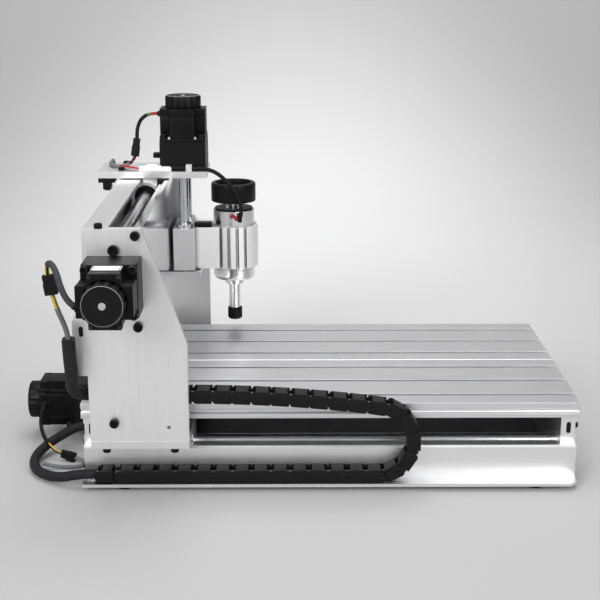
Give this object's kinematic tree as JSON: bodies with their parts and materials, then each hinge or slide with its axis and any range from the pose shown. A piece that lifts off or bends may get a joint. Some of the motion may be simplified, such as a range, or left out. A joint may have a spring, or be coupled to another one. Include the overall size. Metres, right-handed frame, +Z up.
{
  "type": "cnc router",
  "caption": "Desktop CNC router: aluminium base with a T-slot bed, moving gantry on lead screws, stepper motors with hand knobs, and a clamped spindle.",
  "frame": {"origin": "middle of the machine's box in plan, on the surface that it stands on", "axes": "+Y along the bed to the rear, where the bed's motor is; +X along the gantry, away from its motor; +Z up"},
  "size_m": [0.471, 0.629, 0.391],
  "materials": {
    "frame_aluminium": "satin",
    "bed_aluminium": "satin, extruded",
    "face_aluminium": "glossy",
    "black_sheet": "gloss",
    "rubber": "matte",
    "ground_steel": "ground and polished",
    "screw_steel": "satin",
    "black_oxide": "black oxide",
    "housing_anodised": "dark anodised",
    "motor_black": "semi-gloss",
    "knob_plastic": "satin",
    "chain_plastic": "matte",
    "nut_brass": "machined",
    "spindle_polish": "polished",
    "white_plastic": "matte",
    "loom_black": "matte",
    "cable_grey": "matte"
  },
  "bodies": {
    "base": {"left_beam": "frame_aluminium", "right_beam": "frame_aluminium", "front_plate": "frame_aluminium", "rear_plate": "frame_aluminium", "table_planks": "bed_aluminium", "base_pan": "black_sheet", "feet": "rubber", "y_shafts": "ground_steel", "y_screw_bearings": "ground_steel", "base_screws": "black_oxide", "y_housing": "housing_anodised", "y_motor": "motor_black", "chain_anchor": "chain_plastic", "chain_lower": "chain_plastic", "base_loom": "loom_black", "y_motor_lead": "cable_grey", "y_lead_plug": "chain_plastic"},
    "y_screw": {"y_screw": "screw_steel", "y_knob": "knob_plastic"},
    "chain_bend": {"chain_bend": "chain_plastic"},
    "gantry": {"left_side_plate": "frame_aluminium", "right_side_plate": "frame_aluminium", "gantry_floor": "frame_aluminium", "y_bearing_blocks": "frame_aluminium", "y_nut_block": "nut_brass", "beam_back": "frame_aluminium", "beam_front": "face_aluminium", "rear_brace": "frame_aluminium", "x_shafts": "ground_steel", "x_screw_bearings": "ground_steel", "x_housing": "housing_anodised", "x_motor": "motor_black", "chain_upper": "chain_plastic", "gantry_screws": "black_oxide", "x_motor_lead": "cable_grey", "x_lead_plug": "chain_plastic", "gantry_loom": "loom_black"},
    "x_screw": {"x_screw": "screw_steel", "x_knob": "knob_plastic"},
    "x_carriage": {"x_block": "frame_aluminium", "x_bushes": "ground_steel", "z_top_plate": "frame_aluminium", "z_bottom_plate": "frame_aluminium", "z_shafts": "ground_steel", "z_housing": "housing_anodised", "z_motor": "motor_black", "limit_switch": "chain_plastic", "wire_joint": "white_plastic", "z_motor_lead": "cable_grey", "z_lead_plug": "chain_plastic", "spindle_lead": "loom_black"},
    "z_screw": {"z_screw": "screw_steel", "z_knob": "knob_plastic"},
    "z_slider": {"z_block": "frame_aluminium", "z_bushes": "ground_steel", "spindle_clamp": "frame_aluminium", "spindle_body": "spindle_polish", "spindle_cap": "knob_plastic"},
    "spindle_rotor": {"spindle_shaft": "screw_steel", "collet_nut": "black_oxide"}
  },
  "joints": [
    {"name": "y_travel", "type": "slide", "parent": "base", "child": "gantry", "axis": [0, -1, 0], "range_m": [0, 0.385], "deforming": ["chain_lower", "chain_upper"]},
    {"name": "y_screw_spin", "type": "hinge", "parent": "base", "child": "y_screw", "pos_m": [0.0425, -0.041, 0.0428], "axis": [0, -1, 0], "continuous": true},
    {"name": "chain_travel", "type": "slide", "parent": "base", "child": "chain_bend", "axis": [0, -1, 0], "range_m": [0, 0.193]},
    {"name": "x_travel", "type": "slide", "parent": "gantry", "child": "x_carriage", "axis": [-1, 0, 0], "range_m": [0, 0.275]},
    {"name": "x_screw_spin", "type": "hinge", "parent": "gantry", "child": "x_screw", "pos_m": [0.0425, 0.1805, 0.236], "axis": [-1, 0, 0], "continuous": true},
    {"name": "z_travel", "type": "slide", "parent": "x_carriage", "child": "z_slider", "axis": [0, 0, 1], "range_m": [0, 0.055], "deforming": ["spindle_lead"]},
    {"name": "z_screw_spin", "type": "hinge", "parent": "x_carriage", "child": "z_screw", "pos_m": [0.1805, 0.135, 0.236], "axis": [0, 0, 1], "continuous": true},
    {"name": "spindle_spin", "type": "hinge", "parent": "z_slider", "child": "spindle_rotor", "pos_m": [0.1805, 0.0742, 0.2], "axis": [0, 0, 1], "continuous": true}
  ],
  "couplings": [
    {"joint": "y_screw_spin", "follows": "y_travel", "rad_per_m": -1256.6},
    {"joint": "chain_travel", "follows": "y_travel", "ratio": 0.5},
    {"joint": "x_screw_spin", "follows": "x_travel", "rad_per_m": -1256.6},
    {"joint": "z_screw_spin", "follows": "z_travel", "rad_per_m": -1570.8}
  ]
}
